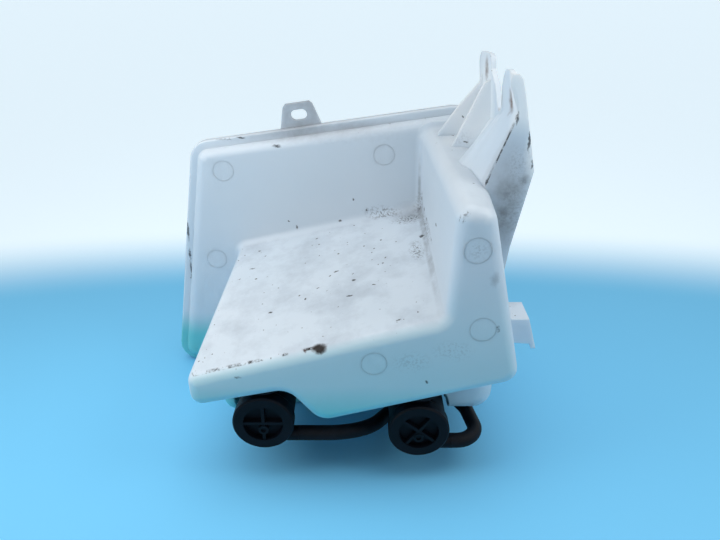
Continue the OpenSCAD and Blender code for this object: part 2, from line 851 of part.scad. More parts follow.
front_shell();
rear_shell();
left_grommet();
left_housing();
left_end_cap();
left_impeller();
left_shaft();
left_shaft_seal();
left_motor_can();
left_front_bush();
left_magnets();
left_armature_core();
left_windings();
left_commutator();
left_brush_plate();
left_brushes();
left_rear_cover();
left_terminals();
right_grommet();
right_housing();
right_end_cap();
right_impeller();
right_shaft();
right_shaft_seal();
right_motor_can();
right_front_bush();
right_magnets();
right_armature_core();
right_windings();
right_commutator();
right_brush_plate();
right_brushes();
right_rear_cover();
right_terminals();
left_hose();
right_hose();
left_joiner();
right_joiner();
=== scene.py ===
import math

import bpy
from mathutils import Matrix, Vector


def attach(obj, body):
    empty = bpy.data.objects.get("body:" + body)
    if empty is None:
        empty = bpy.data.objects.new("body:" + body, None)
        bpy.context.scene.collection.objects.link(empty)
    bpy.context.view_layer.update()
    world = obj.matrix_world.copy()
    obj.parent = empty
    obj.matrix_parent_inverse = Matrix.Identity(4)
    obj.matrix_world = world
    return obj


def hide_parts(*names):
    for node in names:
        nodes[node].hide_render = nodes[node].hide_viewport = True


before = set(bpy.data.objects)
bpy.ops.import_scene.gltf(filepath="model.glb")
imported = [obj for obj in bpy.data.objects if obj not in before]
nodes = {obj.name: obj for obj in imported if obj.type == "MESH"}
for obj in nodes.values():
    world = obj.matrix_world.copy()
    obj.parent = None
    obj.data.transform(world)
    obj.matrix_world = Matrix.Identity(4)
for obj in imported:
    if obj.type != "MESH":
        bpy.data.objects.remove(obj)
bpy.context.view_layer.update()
scene = bpy.context.scene

# All sizes below are in millimetres and are turned into metres by this value.
MM = 0.001

# Upright planes across the tank, along Y: the weld between its two halves, and the walls that carry pin marks
# and dirt. The kite is the fork's front plate, named for its shape.
WELD_Y = 33
PANEL_FRONT = WELD_Y - 10
FACE_FRONT = WELD_Y - 144
REAR_WALL = WELD_Y + 44
KITE_FRONT = WELD_Y - 111

# The inner edge of the kite: its foot in X and Z, and how far it leans out for each mm of height.
KITE_FOOT_X = 66
KITE_FOOT_Z = 181
KITE_LEAN = 14 / 38

# The pin mark on the arm's front.
ARM_MARK_X = 58.8
ARM_MARK_Z = 158.2

# The sloping seat: its height at the middle of the frame, and its rise for each mm to the right and to the
# back.
SEAT_HEIGHT = 119.2
SEAT_RISE_RIGHT = 0.252
SEAT_RISE_BACK = 0.133


# Helpers

def hex_colour(text):
    """An sRGB hex value as the linear colour that Blender's sockets take."""
    channels = [int(text[i:i + 2], 16) / 255 for i in (1, 3, 5)]
    linear = [c / 12.92 if c <= 0.04045 else ((c + 0.055) / 1.055) ** 2.4 for c in channels]
    return (*linear, 1.0)


def metres(point):
    """A point in millimetres, as Blender's metres."""
    return [along * MM for along in point]


def per_metre(size):
    """The texture scale that gives a pattern of this real size on Object coordinates."""
    return 1 / (size * MM)


def activate(piece):
    """Makes a piece the only selected one, ready for an operator."""
    bpy.ops.object.select_all(action="DESELECT")
    piece.select_set(True)
    bpy.context.view_layer.objects.active = piece


def paint(piece, material):
    """Puts a material on all slots of a piece."""
    if not piece.material_slots:
        piece.data.materials.append(material)
    for slot in piece.material_slots:
        slot.material = material


def start_material(name):
    """A new node material with its shader, and the Object coordinates that its patterns read."""
    material = bpy.data.materials.new(name)
    material.use_nodes = True
    tree = material.node_tree
    shader = tree.nodes["Principled BSDF"]
    coords = tree.nodes.new("ShaderNodeTexCoord").outputs["Object"]
    return material, tree, shader, coords


def connect(tree, node, links):
    """Links a node's inputs to their sources: a socket, or another node for its first output."""
    for socket, source in links.items():
        if isinstance(source, bpy.types.Node):
            source = source.outputs[0]
        tree.links.new(source, node.inputs[socket])


def add(tree, kind, values, links, **options):
    """Adds a node with its options, input values and links.

    Inputs are given by name or number. Those of a Map Range are 0 for the value, 1 and 2 for the range that
    it comes from, and 3 and 4 for the range that it goes to, which is 0 to 1 where they are left out. Those
    of a colour Mix are 0 for the share, 6 and 7 for the colours, and its colour comes out of output 2.
    """
    node = tree.nodes.new(kind)
    for option, value in options.items():
        setattr(node, option, value)
    for socket, value in values.items():
        node.inputs[socket].default_value = value
    connect(tree, node, links)
    return node


# Camera

CAMERA_PLACE = (0, -411, 294)
# Straight down is 0 degrees and level is 90.
CAMERA_TILT = 64
LENS = 33
SENSOR_WIDTH = 36

bpy.ops.object.camera_add(location=metres(CAMERA_PLACE), rotation=(math.radians(CAMERA_TILT), 0, 0))
camera = bpy.context.object
camera.name = "photo_camera"
camera.data.lens = LENS
camera.data.sensor_width = SENSOR_WIDTH
scene.camera = camera


# Where dirt lies on the tank

# Grains stuck to the seat: X, Y, half length along X, half width along Y.
SEAT_GRAINS = [
    (-6, -67, 2.3, 1.2), (-4, -51, 1.8, 1.0), (-15, -37, 1.5, 1.0), (-19, -40, 0.9, 0.9),
    (-14, -16, 1.0, 0.9), (-54, -66, 1.7, 0.9), (-72, -11, 2.6, 0.8), (-70, 10, 1.1, 0.8),
    (-65, 2, 0.7, 0.7), (-30, 10, 1.2, 0.8), (21, -100, 1.7, 1.0), (8, -61, 1.4, 0.9),
    (-26, -51, 1.1, 0.8), (-68, -25, 1.1, 0.7), (14, -10, 1.0, 0.9), (40, -18, 1.9, 1.0),
    (-80, -21, 0.8, 0.7), (-37, -55, 1.0, 0.9), (-33, -60, 0.9, 1.0), (-27, -13, 0.8, 1.0),
    (9, -19, 0.9, 0.7), (14, -39, 1.0, 0.7), (3, -13, 0.7, 0.7),
]
# They reach this far above and below the seat.
GRAIN_REACH = 3

# Every other spot: its middle, then its half sizes along X, Y and Z.
# A lump of reddish dirt on the seat's front edge, and the stains that it has left.
LUMP_MIDDLE = (-22.5, -109, 99.3)
EDGE_LUMP = (LUMP_MIDDLE, (5.0, 5.0, 3.4))
BROWN_STAINS = [
    (LUMP_MIDDLE, (5.5, 4.0, 3.2)),
    ((-30, -108, 97), (1.8, 2, 0.9)),
]
# Grains on the arm's inner wall.
WALL_GRAINS = [
    ((43, 5, 136.5), (3, 2.6, 1.7)),
    ((43.4, -10, 135.4), (3, 1.9, 1.2)),
    ((44.6, -51.5, 148.3), (3, 2.4, 1.1)),
    ((43.9, -36.8, 132.4), (3, 1.5, 0.8)),
]
# Black chips on the weld flange, the front face, the panel, the crease by the arm and the fork.
CHIPS = [
    ((-124.4, 30, 113), (1.0, 6, 12)),
    ((-124.9, 30, 92), (0.9, 6, 6)),
    ((-125.4, 30, 77), (1.2, 6, 11)),
    ((-93, 29, 177.4), (7, 4, 0.8)),
    ((-81, 29, 178.4), (4, 4, 0.7)),
    ((-56, 24, 174.5), (3.5, 3, 0.8)),
    ((-67, FACE_FRONT, 82), (2.6, 3, 1.0)),
    ((37, FACE_FRONT, 79), (1.3, 2, 1.0)),
    ((73, FACE_FRONT, 113), (1.0, 2, 2.6)),
    ((-4.5, PANEL_FRONT, 137), (0.9, 2, 1.1)),
    ((5, PANEL_FRONT, 129), (0.8, 2, 1.0)),
    ((-45, PANEL_FRONT, 116), (1.0, 3, 1.9)),
    ((-14, PANEL_FRONT, 121), (1.7, 3, 1.2)),
    ((-50, PANEL_FRONT, 121), (1.0, 2, 0.6)),
    ((39.9, -16.7, 126.2), (2.0, 1.5, 1.2)),
    ((65, 7, 198), (0.8, 3, 0.6)),
    ((64.5, -16, 188), (1.7, 3, 0.5)),
    ((66.5, KITE_FRONT, 183), (0.9, 3, 1.6)),
    ((79.5, KITE_FRONT, 217), (0.9, 3, 4.0)),
    ((86.8, KITE_FRONT, 207), (0.8, 3, 9.0)),
    ((89.5, KITE_FRONT, 193), (0.8, 3, 3.0)),
]
# Rust that bolts have left on the prongs and in the slot between them.
RUSTY_STREAKS = [
    ((75, -4, 229), (3, 5, 9)),
    ((78, -68, 223), (3, 4, 10)),
    ((77.5, -45, 215), (3, 4, 2)),
]
# Soft dark patches low on the kite.
KITE_DARK_PATCHES = [
    ((80, KITE_FRONT, 176), (10, 5, 12)),
    ((77, KITE_FRONT, 164), (9, 5, 14)),
    ((86, KITE_FRONT, 184), (4, 5, 5)),
]
# Dark flecks in the seat's far corner, along the crease by the arm and on the arm's front corner.
PEPPERED = [
    ((31, 10, 128), (17, 8, 5)),
    ((41, 18, 136), (7, 6, 10)),
    ((35, -34, 124), (6, 16, 4)),
    ((43.4, -14, 132), (2.4, 32, 5)),
    ((15, 21, 128), (16, 4, 6)),
    ((50, -109.3, 174.4), (2.2, 3, 2.2)),
    ((52, -109, 177.4), (2.6, 3, 1.6)),
]
# Fainter flecks on the front face, the kite, the fork's foot and the arm's pin mark.
FAINTLY_PEPPERED = [
    ((50, FACE_FRONT, 99), (13, 3, 8)),
    ((28, FACE_FRONT, 92), (13, 3, 8)),
    ((84, KITE_FRONT, 165), (9, 4, 26)),
    ((82, KITE_FRONT, 192), (8, 4, 14)),
    ((62, -14, 190), (10, 4, 7)),
    ((ARM_MARK_X, FACE_FRONT, ARM_MARK_Z), (7, 3, 7)),
]
# A grey film that darkens the kite, and a film of grime on the top edge of the panel, the arm's face, and the
# far corner and right edge of the seat.
FILMS = [
    ((77, KITE_FRONT, 168), (19, 7, 50)),
    ((-25, 30, 183), (95, 9, 11)),
    ((69, FACE_FRONT, 142), (3, 4, 5)),
    ((38, 14, 130), (22, 14, 9)),
    ((47, -10, 134), (4, 40, 9)),
]
# A thicker film on the fixing tab.
TAB_GRIME = [
    ((-40, WELD_Y, 196), (26, 10, 20)),
]
# Painted light: the fork's rear plates, the kite's tip and a painted highlight on the kite's outer edge.
PAINTED_LIGHT_PLATES = [
    ((68, -4, 210), (26, 30, 36)),
    ((82, KITE_FRONT, 231), (14, 12, 24)),
    ((91, KITE_FRONT, 199), (7, 8, 18)),
]


def seat_grains():
    """The seat's grains in the form of the other spots, each at the height of the sloping seat."""
    spots = []
    for x, y, half_length, half_width in SEAT_GRAINS:
        height = SEAT_HEIGHT + SEAT_RISE_RIGHT * x + SEAT_RISE_BACK * y
        spots.append(((x, y, height), (half_length, half_width, GRAIN_REACH)))
    return spots


# Masks of the tank's plastic: place and tilt hold the X, Y and Z of a point and of the way it faces

def overlap(tree, *masks):
    """A mask that shows only where all of these masks do."""
    shared = masks[0]
    for mask in masks[1:]:
        shared = add(tree, "ShaderNodeMath", {}, {0: shared, 1: mask}, operation="MULTIPLY")
    return shared


def spots_mask(tree, where, spots, soft, strength):
    """A mask over egg-shaped spots, each of which fades out over the soft outer share of its half sizes."""
    nearest = None
    for middle, half in spots:
        scale = [1 / (size * MM) for size in half]
        shift = [-along / size for along, size in zip(middle, half)]
        shape = add(tree, "ShaderNodeVectorMath", {1: scale, 2: shift}, {0: where}, operation="MULTIPLY_ADD")
        away = add(tree, "ShaderNodeVectorMath", {}, {0: shape}, operation="LENGTH").outputs["Value"]
        if nearest is None:
            nearest = away
        else:
            nearest = add(tree, "ShaderNodeMath", {}, {0: nearest, 1: away}, operation="MINIMUM")
    return add(tree, "ShaderNodeMapRange", {1: 1, 2: 1 - soft, 3: 0, 4: strength}, {0: nearest})


def fluid_and_front_shade(tree, place, tilt):
    """Where the rest of the fluid shows through the wall, and painted shade on the thin front wall."""
    # The tank leans back, so the fluid's line slopes by this much for each mm along Y.
    slope = 0.156
    line = add(tree, "ShaderNodeMath", {1: slope}, {0: place["Y"], 2: place["Z"]}, operation="MULTIPLY_ADD")
    level = add(tree, "ShaderNodeMapRange", {1: 52 * MM, 2: 28 * MM, 3: 0, 4: 0.92}, {0: line},
                interpolation_type="SMOOTHSTEP")
    to_left = add(tree, "ShaderNodeMapRange", {1: 60 * MM, 2: 10 * MM, 3: 0.15, 4: 1}, {0: place["X"]})
    below = overlap(tree, level, to_left)

    # The thin front wall, where it faces the front, is painted a little of that mint as shade and blue bounce
    # light from the bench, more of it lower down.
    to_front = add(tree, "ShaderNodeMapRange", {1: -0.4, 2: -0.9}, {0: tilt["Y"]})
    ahead = add(tree, "ShaderNodeMapRange", {1: -92 * MM, 2: -102 * MM}, {0: place["Y"]})
    upper = add(tree, "ShaderNodeMapRange", {1: 150 * MM, 2: 78 * MM, 3: 0, 4: 0.34}, {0: place["Z"]})
    lower = add(tree, "ShaderNodeMapRange", {1: 76 * MM, 2: 54 * MM, 3: 0, 4: 0.6}, {0: place["Z"]})
    both = add(tree, "ShaderNodeMath", {}, {0: upper, 1: lower}, operation="ADD")
    painted_front_shade = overlap(tree, both, to_front, ahead)
    return add(tree, "ShaderNodeMath", {}, {0: below, 1: painted_front_shade}, operation="MAXIMUM")


def seat_dust(tree, place, upward, patches):
    """Dust on what faces up, in patches, and more of it on the low seat than on the arm."""
    haze = add(tree, "ShaderNodeMapRange", {1: 0.44, 2: 0.7, 3: 0, 4: 0.45}, {0: patches})
    settled = add(tree, "ShaderNodeMapRange", {1: 166 * MM, 2: 140 * MM, 3: 0.25, 4: 1}, {0: place["Z"]})
    return overlap(tree, haze, upward, settled)


def fine_grit(tree, ragged, upward):
    """One grain in each 4 mm cell of what faces up, of which few are large enough to show."""
    grain = add(tree, "ShaderNodeTexVoronoi", {"Scale": per_metre(4)}, {"Vector": ragged})
    chance = add(tree, "ShaderNodeSeparateColor", {}, {0: grain.outputs["Color"]})
    radius = add(tree, "ShaderNodeMapRange", {1: 0.5, 2: 1, 3: 0, 4: 0.16}, {0: chance})
    inside = add(tree, "ShaderNodeMath", {}, {0: radius, 1: grain.outputs["Distance"]}, operation="SUBTRACT")
    speck = add(tree, "ShaderNodeMapRange", {1: -0.02, 2: 0.04, 3: 0, 4: 0.9}, {0: inside})
    return overlap(tree, speck, upward)


def front_edge_dirt(tree, place, tilt, clouds):
    """A broken line of dirt along the left half of the seat's front edge."""
    rounding_on = add(tree, "ShaderNodeMapRange", {1: 0.76, 2: 0.82}, {0: tilt["Z"]})
    rounding_off = add(tree, "ShaderNodeMapRange", {1: 0.93, 2: 0.88}, {0: tilt["Z"]})
    front_only = add(tree, "ShaderNodeMapRange", {1: -98 * MM, 2: -102 * MM}, {0: place["Y"]})
    left_only = add(tree, "ShaderNodeMapRange", {1: -16 * MM, 2: -26 * MM}, {0: place["X"]})
    gaps = add(tree, "ShaderNodeMapRange", {1: 0.47, 2: 0.56}, {0: clouds})
    return overlap(tree, rounding_on, rounding_off, front_only, left_only, gaps)


def crease_dirt_and_shade(tree, place, tilt, patchy):
    """A line of dirt and painted shade in the rounded crease between the seat and the arm, and in the upright
    one behind it.
    """
    rising = add(tree, "ShaderNodeMapRange", {1: 0.26, 2: 0.46}, {0: tilt["Z"]})
    forward = add(tree, "ShaderNodeMapRange", {1: -0.45, 2: -0.62}, {0: tilt["Y"]})
    far_back = add(tree, "ShaderNodeMapRange", {1: 0, 2: 8 * MM}, {0: place["Y"]})
    upright = overlap(tree, forward, far_back)
    crease = add(tree, "ShaderNodeMath", {}, {0: rising, 1: upright}, operation="MAXIMUM")
    leftward = add(tree, "ShaderNodeMapRange", {1: -0.45, 2: -0.62}, {0: tilt["X"]})
    by_arm = add(tree, "ShaderNodeMapRange", {1: 25 * MM, 2: 34 * MM}, {0: place["X"]})
    under_fork = add(tree, "ShaderNodeMapRange", {1: 172 * MM, 2: 150 * MM, 3: 0, 4: 0.42}, {0: place["Z"]})
    thinning = add(tree, "ShaderNodeMapRange", {1: -95 * MM, 2: -40 * MM, 3: 0.2, 4: 1}, {0: place["Y"]})
    return overlap(tree, crease, leftward, by_arm, under_fork, thinning, patchy)


def kite_edge_dirt(tree, place, clouds):
    """A thin broken line of dirt up the kite's inner edge, which leans outwards from its foot."""
    # Where the edge would meet the ground, and where each point lands there if it slides along that lean.
    edge_landing = KITE_FOOT_X - KITE_LEAN * KITE_FOOT_Z
    landing = add(tree, "ShaderNodeMath", {1: -KITE_LEAN}, {0: place["Z"], 2: place["X"]},
                  operation="MULTIPLY_ADD")
    beside = add(tree, "ShaderNodeMath", {1: edge_landing * MM}, {0: landing}, operation="SUBTRACT")
    off_edge = add(tree, "ShaderNodeMath", {}, {0: beside}, operation="ABSOLUTE")
    line = add(tree, "ShaderNodeMapRange", {1: 0.5 * MM, 2: 0.2 * MM, 3: 0, 4: 0.9}, {0: off_edge})
    on_kite = add(tree, "ShaderNodeMapRange", {1: -70 * MM, 2: -74 * MM}, {0: place["Y"]})
    above_foot = add(tree, "ShaderNodeMapRange", {1: 181 * MM, 2: 184 * MM}, {0: place["Z"]})
    below_slot = add(tree, "ShaderNodeMapRange", {1: 215 * MM, 2: 212 * MM}, {0: place["Z"]})
    gaps = add(tree, "ShaderNodeMapRange", {1: 0.42, 2: 0.5}, {0: clouds})
    return overlap(tree, line, on_kite, above_foot, below_slot, gaps)


# Materials of the tank

def moulded_skin(tree, coords):
    """The normal of the plastic's skin: edges rounded by 0.8 mm, a slow waviness and a fine orange peel."""
    rounded = add(tree, "ShaderNodeBevel", {"Radius": 0.8 * MM}, {}, samples=5)
    waves = add(tree, "ShaderNodeTexNoise", {"Scale": per_metre(45), "Detail": 1}, {"Vector": coords})
    wavy = add(tree, "ShaderNodeBump", {"Strength": 0.35, "Distance": 1.2 * MM},
               {"Height": waves, "Normal": rounded})
    peel = add(tree, "ShaderNodeTexNoise", {"Scale": per_metre(1.6), "Detail": 3}, {"Vector": coords})
    return add(tree, "ShaderNodeBump", {"Strength": 0.12, "Distance": 0.25 * MM},
               {"Height": peel, "Normal": wavy})


def natural_polypropylene():
    """Natural polypropylene, injection moulded: milky, waxy and a little see-through, with years of dirt."""
    material, tree, shader, coords = start_material("natural_polypropylene")
    place = add(tree, "ShaderNodeSeparateXYZ", {}, {0: coords}).outputs
    geometry = add(tree, "ShaderNodeNewGeometry", {}, {})
    tilt = add(tree, "ShaderNodeSeparateXYZ", {}, {0: geometry.outputs["Normal"]}).outputs
    upward = add(tree, "ShaderNodeMapRange", {1: 0.55, 2: 0.9}, {0: tilt["Z"]})

    # Coordinates that wander by about a millimetre, so that no stain has a drawn outline.
    wander = add(tree, "ShaderNodeTexNoise", {"Scale": per_metre(2.4), "Detail": 3}, {"Vector": coords})
    offset = add(tree, "ShaderNodeVectorMath", {1: (0.5, 0.5, 0.5)}, {0: wander.outputs["Color"]},
                 operation="SUBTRACT")
    ragged = add(tree, "ShaderNodeVectorMath", {1: (3 * MM, 3 * MM, 3 * MM)}, {0: offset, 2: coords},
                 operation="MULTIPLY_ADD")

    # Dirt is broken up in patches 26 mm wide, in clouds 9 mm wide or in flecks of about a millimetre.
    patches = add(tree, "ShaderNodeTexNoise", {"Scale": per_metre(26), "Detail": 6, "Roughness": 0.66},
                  {"Vector": coords})
    clouds = add(tree, "ShaderNodeTexNoise", {"Scale": per_metre(9), "Detail": 6, "Roughness": 0.72},
                 {"Vector": coords})
    flecks = add(tree, "ShaderNodeTexNoise", {"Scale": per_metre(1.4), "Detail": 3, "Roughness": 0.6},
                 {"Vector": coords})
    filmy = add(tree, "ShaderNodeMapRange", {1: 0.35, 2: 0.65, 3: 0.55, 4: 1}, {0: patches})
    cloudy = add(tree, "ShaderNodeMapRange", {1: 0.3, 2: 0.5}, {0: clouds})
    patchy = add(tree, "ShaderNodeMapRange", {1: 0.3, 2: 0.56}, {0: clouds})
    flecked = add(tree, "ShaderNodeMapRange", {1: 0.5, 2: 0.58}, {0: flecks})

    # Tints that leave the plastic clear, as mask and tone: painted light makes the fork's plates whiter, the
    # fluid and the painted shade of the front wall look mint, and dust looks grey.
    tints = [
        (spots_mask(tree, coords, PAINTED_LIGHT_PLATES, 0.45, 0.7), "#F3F5F6"),
        (fluid_and_front_shade(tree, place, tilt), "#62C4C8"),
        (seat_dust(tree, place, upward, patches), "#98A1AB"),
    ]
    # Dirt that covers the plastic, and painted shade in the crease by the arm, in the same form.
    dirt_and_shade = [
        (fine_grit(tree, ragged, upward), "#3A3733"),
        (front_edge_dirt(tree, place, tilt, clouds), "#332E2B"),
        (crease_dirt_and_shade(tree, place, tilt, patchy), "#4C4B48"),
        (kite_edge_dirt(tree, place, clouds), "#2A2725"),
    ]
    # Spots of dirt, and patches that darken the kite: tone, strength, softness of the outline, how they are
    # broken up, and the spots.
    for tone, strength, soft, broken, spots in [
            ("#7F8186", 0.55, 0.7, filmy, FILMS),
            ("#77777A", 0.75, 0.6, filmy, TAB_GRIME),
            ("#2A2826", 0.78, 0.8, flecked, PEPPERED),
            ("#4A4A48", 0.24, 1.0, flecked, FAINTLY_PEPPERED),
            ("#55524E", 0.66, 1.0, patchy, KITE_DARK_PATCHES),
            ("#6E4C34", 0.8, 0.8, cloudy, RUSTY_STREAKS),
            ("#4A302A", 0.85, 0.6, cloudy, BROWN_STAINS),
            ("#1E1B1A", 0.82, 0.5, cloudy, CHIPS),
            ("#231F1C", 0.9, 0.5, None, [*seat_grains(), EDGE_LUMP, *WALL_GRAINS])]:
        mask = spots_mask(tree, ragged, spots, soft, strength)
        if broken is not None:
            mask = overlap(tree, mask, broken)
        dirt_and_shade.append((mask, tone))

    # Thick and thin places of the moulding, 70 mm wide, with the tints and the dirt over them.
    thickness = add(tree, "ShaderNodeTexNoise", {"Scale": per_metre(70), "Detail": 2}, {"Vector": coords})
    colour = add(tree, "ShaderNodeMix", {6: hex_colour("#D4DDE6"), 7: hex_colour("#C9D5DF")}, {0: thickness},
                 data_type="RGBA")
    for mask, tone in tints + dirt_and_shade:
        colour = add(tree, "ShaderNodeMix", {7: hex_colour(tone)}, {0: mask, 6: colour.outputs[2]},
                     data_type="RGBA")

    # Light sinks into clean plastic and glows in thin plates. Dirt and painted shade keep it out, and take
    # the gloss away.
    cover = dirt_and_shade[0][0]
    for mask, tone in dirt_and_shade[1:]:
        cover = add(tree, "ShaderNodeMath", {}, {0: cover, 1: mask}, operation="MAXIMUM")
    clear = add(tree, "ShaderNodeMapRange", {1: 0, 2: 1, 3: 0.6, 4: 0}, {0: cover})
    gloss = add(tree, "ShaderNodeMapRange", {1: 0, 2: 1, 3: 0.5, 4: 0.1}, {0: cover})
    # Moulded plastic is satin, here a little more and there a little less.
    sheen = add(tree, "ShaderNodeMapRange", {1: 0.3, 2: 0.7, 3: 0.36, 4: 0.52}, {0: patches})

    shader.inputs["IOR"].default_value = 1.49
    shader.inputs["Subsurface Radius"].default_value = (1.0, 1.0, 1.0)
    shader.inputs["Subsurface Scale"].default_value = 6 * MM
    connect(tree, shader, {"Base Color": colour.outputs[2], "Roughness": sheen, "Subsurface Weight": clear,
                           "Specular IOR Level": gloss, "Normal": moulded_skin(tree, coords)})
    return material


# Materials of the pumps and hoses

def moulded_black(name, tone, dust_tone, roughness, dust_amount, dust_size):
    """Black moulded plastic or rubber: a deep colour with a soft sheen, a film of dust and a fine grain."""
    material, tree, shader, coords = start_material(name)
    film = add(tree, "ShaderNodeTexNoise", {"Scale": per_metre(dust_size), "Detail": 6, "Roughness": 0.65},
               {"Vector": coords})
    amount = add(tree, "ShaderNodeMapRange", {1: 0.42, 2: 0.75, 3: 0, 4: dust_amount}, {0: film})
    colour = add(tree, "ShaderNodeMix", {6: hex_colour(tone), 7: hex_colour(dust_tone)}, {0: amount},
                 data_type="RGBA")
    sheen = add(tree, "ShaderNodeMapRange", {1: 0.35, 2: 0.7, 3: roughness, 4: roughness + 0.2}, {0: film})
    grain = add(tree, "ShaderNodeTexNoise", {"Scale": per_metre(0.7), "Detail": 2}, {"Vector": coords})
    skin = add(tree, "ShaderNodeBump", {"Strength": 0.2, "Distance": 0.15 * MM}, {"Height": grain})
    shader.inputs["IOR"].default_value = 1.5
    shader.inputs["Specular IOR Level"].default_value = 0.12
    connect(tree, shader, {"Base Color": colour.outputs[2], "Roughness": sheen, "Normal": skin})
    return material


def plain_metal(name, tone, stain_tone, roughness, metallic, grain_size):
    """A small metal or pressed part: its own colour with faint stains, and fine marks from its making."""
    material, tree, shader, coords = start_material(name)
    stain = add(tree, "ShaderNodeTexNoise", {"Scale": per_metre(6), "Detail": 4}, {"Vector": coords})
    amount = add(tree, "ShaderNodeMapRange", {1: 0.45, 2: 0.75, 3: 0, 4: 0.7}, {0: stain})
    colour = add(tree, "ShaderNodeMix", {6: hex_colour(tone), 7: hex_colour(stain_tone)}, {0: amount},
                 data_type="RGBA")
    sheen = add(tree, "ShaderNodeMapRange", {1: 0.3, 2: 0.7, 3: roughness, 4: roughness + 0.15}, {0: stain})
    marks = add(tree, "ShaderNodeTexNoise", {"Scale": per_metre(grain_size), "Detail": 2}, {"Vector": coords})
    skin = add(tree, "ShaderNodeBump", {"Strength": 0.15, "Distance": 0.1 * MM}, {"Height": marks})
    shader.inputs["Metallic"].default_value = metallic
    connect(tree, shader, {"Base Color": colour.outputs[2], "Roughness": sheen, "Normal": skin})
    return material


tank_plastic = natural_polypropylene()
# Nylon is blue-black and smooth. Rubber is a little greyer and duller, and holds more dust.
pump_plastic = moulded_black("moulded_nylon", "#04070E", "#18202C", 0.42, 0.3, 12)
hose_rubber = moulded_black("moulded_rubber", "#0A0C11", "#2C2E36", 0.5, 0.35, 9)
# The finish of each CAD node, by the node's name without its side.
finishes = {
    "grommet": hose_rubber,
    "housing": pump_plastic,
    "end_cap": pump_plastic,
    "impeller": pump_plastic,
    "rear_cover": pump_plastic,
    "brush_plate": pump_plastic,
    "joiner": pump_plastic,
    "shaft_seal": hose_rubber,
    # Ground steel is bright, and pressed steel and stamped iron are duller and darker.
    "shaft": plain_metal("ground_steel", "#B9BCC0", "#8F9296", 0.22, 1.0, 0.4),
    "motor_can": plain_metal("pressed_steel", "#9EA2A6", "#7A7D80", 0.35, 1.0, 0.8),
    "armature_core": plain_metal("stamped_iron", "#6D6F72", "#55504B", 0.45, 1.0, 0.5),
    # Tin hides the brass under a pale grey.
    "terminals": plain_metal("tinned_brass", "#C9C9C6", "#A6A59F", 0.3, 1.0, 0.5),
    # Sintered bronze is brown and dull. Copper is orange, and darker under its enamel.
    "front_bush": plain_metal("sintered_bronze", "#9A7448", "#6E5433", 0.5, 1.0, 0.3),
    "windings": plain_metal("enamelled_copper", "#9C5228", "#6E3418", 0.35, 1.0, 0.4),
    "commutator": plain_metal("turned_copper", "#B87048", "#7E4A2C", 0.3, 1.0, 0.3),
    # Ferrite and pressed carbon are near black and show no metal shine.
    "magnets": plain_metal("ferrite", "#2C2D30", "#3A3A3C", 0.7, 0.0, 0.4),
    "brushes": plain_metal("pressed_carbon", "#232325", "#303032", 0.6, 0.0, 0.3),
}


# The tank and hoses, as smooth copies of their CAD shapes

# Corners of the CAD mesh that are closer than this are one corner.
MERGE_DISTANCE = 0.01
# Edges sharper than this many degrees stay sharp.
TANK_CREASE = 32
HOSE_CREASE = 40


def smooth_copy(node, name, crease, material):
    """A merged copy of a faceted CAD node: its rounded edges are shaded as curves and its flats stay flat."""
    piece = bpy.data.objects.new(name, nodes[node].data.copy())
    scene.collection.objects.link(piece)
    activate(piece)
    bpy.ops.mesh.customdata_custom_splitnormals_clear()
    bpy.ops.object.mode_set(mode="EDIT")
    bpy.ops.mesh.select_all(action="SELECT")
    bpy.ops.mesh.remove_doubles(threshold=MERGE_DISTANCE * MM)
    bpy.ops.object.mode_set(mode="OBJECT")
    bpy.ops.object.shade_smooth_by_angle(angle=math.radians(crease))
    even = piece.modifiers.new("even_normals", "WEIGHTED_NORMAL")
    even.keep_sharp = True
    bpy.ops.object.modifier_apply(modifier=even.name)
    paint(piece, material)
    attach(piece, "tank")
    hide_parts(node)


smooth_copy("front_shell", "front_moulding", TANK_CREASE, tank_plastic)
smooth_copy("rear_shell", "rear_moulding", TANK_CREASE, tank_plastic)
smooth_copy("left_hose", "left_moulded_hose", HOSE_CREASE, hose_rubber)
smooth_copy("right_hose", "right_moulded_hose", HOSE_CREASE, hose_rubber)


# The other CAD nodes keep their shapes and get their finishes

for node_name, node in nodes.items():
    part = node_name.split("_", 1)[1]
    if part in finishes:
        paint(node, finishes[part])


# Witness marks of the mould's ejector pins, as very low rings

MARK_RADIUS = 7
RING_THICKNESS = 0.9
# Each ring stands this far out of its wall, and the rest of it is inside the wall.
RING_PROUD = 0.06
# Corners round the rim, and steps round the ring. The rim is turned so that its outer side is flat.
RIM_CORNERS = 10
RING_STEPS = 64
# Where the marks are, in X and Z, on walls that face the front (-1) or the back (1).
MARKED_WALLS = [
    (PANEL_FRONT, -1, [(-93.4, 157.4), (16.2, 168.6), (-103.8, 91.2)]),
    (FACE_FRONT, -1, [(ARM_MARK_X, ARM_MARK_Z), (65.1, 112.4), (7.6, 90.8)]),
    (REAR_WALL, 1, [(-92, 40), (40, 40), (44, 160)]),
]


def ejector_ring():
    """One pin mark round the origin, for an upright wall: its round rim, spun about the Y axis."""
    bpy.ops.object.select_all(action="DESELECT")
    bpy.ops.mesh.primitive_circle_add(vertices=RIM_CORNERS, radius=RING_THICKNESS / 2 * MM,
                                      location=(MARK_RADIUS * MM, 0, 0),
                                      rotation=(0, 0, math.pi / RIM_CORNERS))
    rim = bpy.context.object
    bpy.ops.object.transform_apply(location=True, rotation=True, scale=True)
    bpy.ops.object.mode_set(mode="EDIT")
    bpy.ops.mesh.select_all(action="SELECT")
    bpy.ops.mesh.spin(steps=RING_STEPS, angle=math.tau, center=(0, 0, 0), axis=(0, 1, 0))
    bpy.ops.mesh.select_all(action="SELECT")
    bpy.ops.mesh.remove_doubles(threshold=MERGE_DISTANCE * MM)
    bpy.ops.mesh.normals_make_consistent(inside=False)
    bpy.ops.object.mode_set(mode="OBJECT")
    bpy.ops.object.shade_smooth()
    return rim


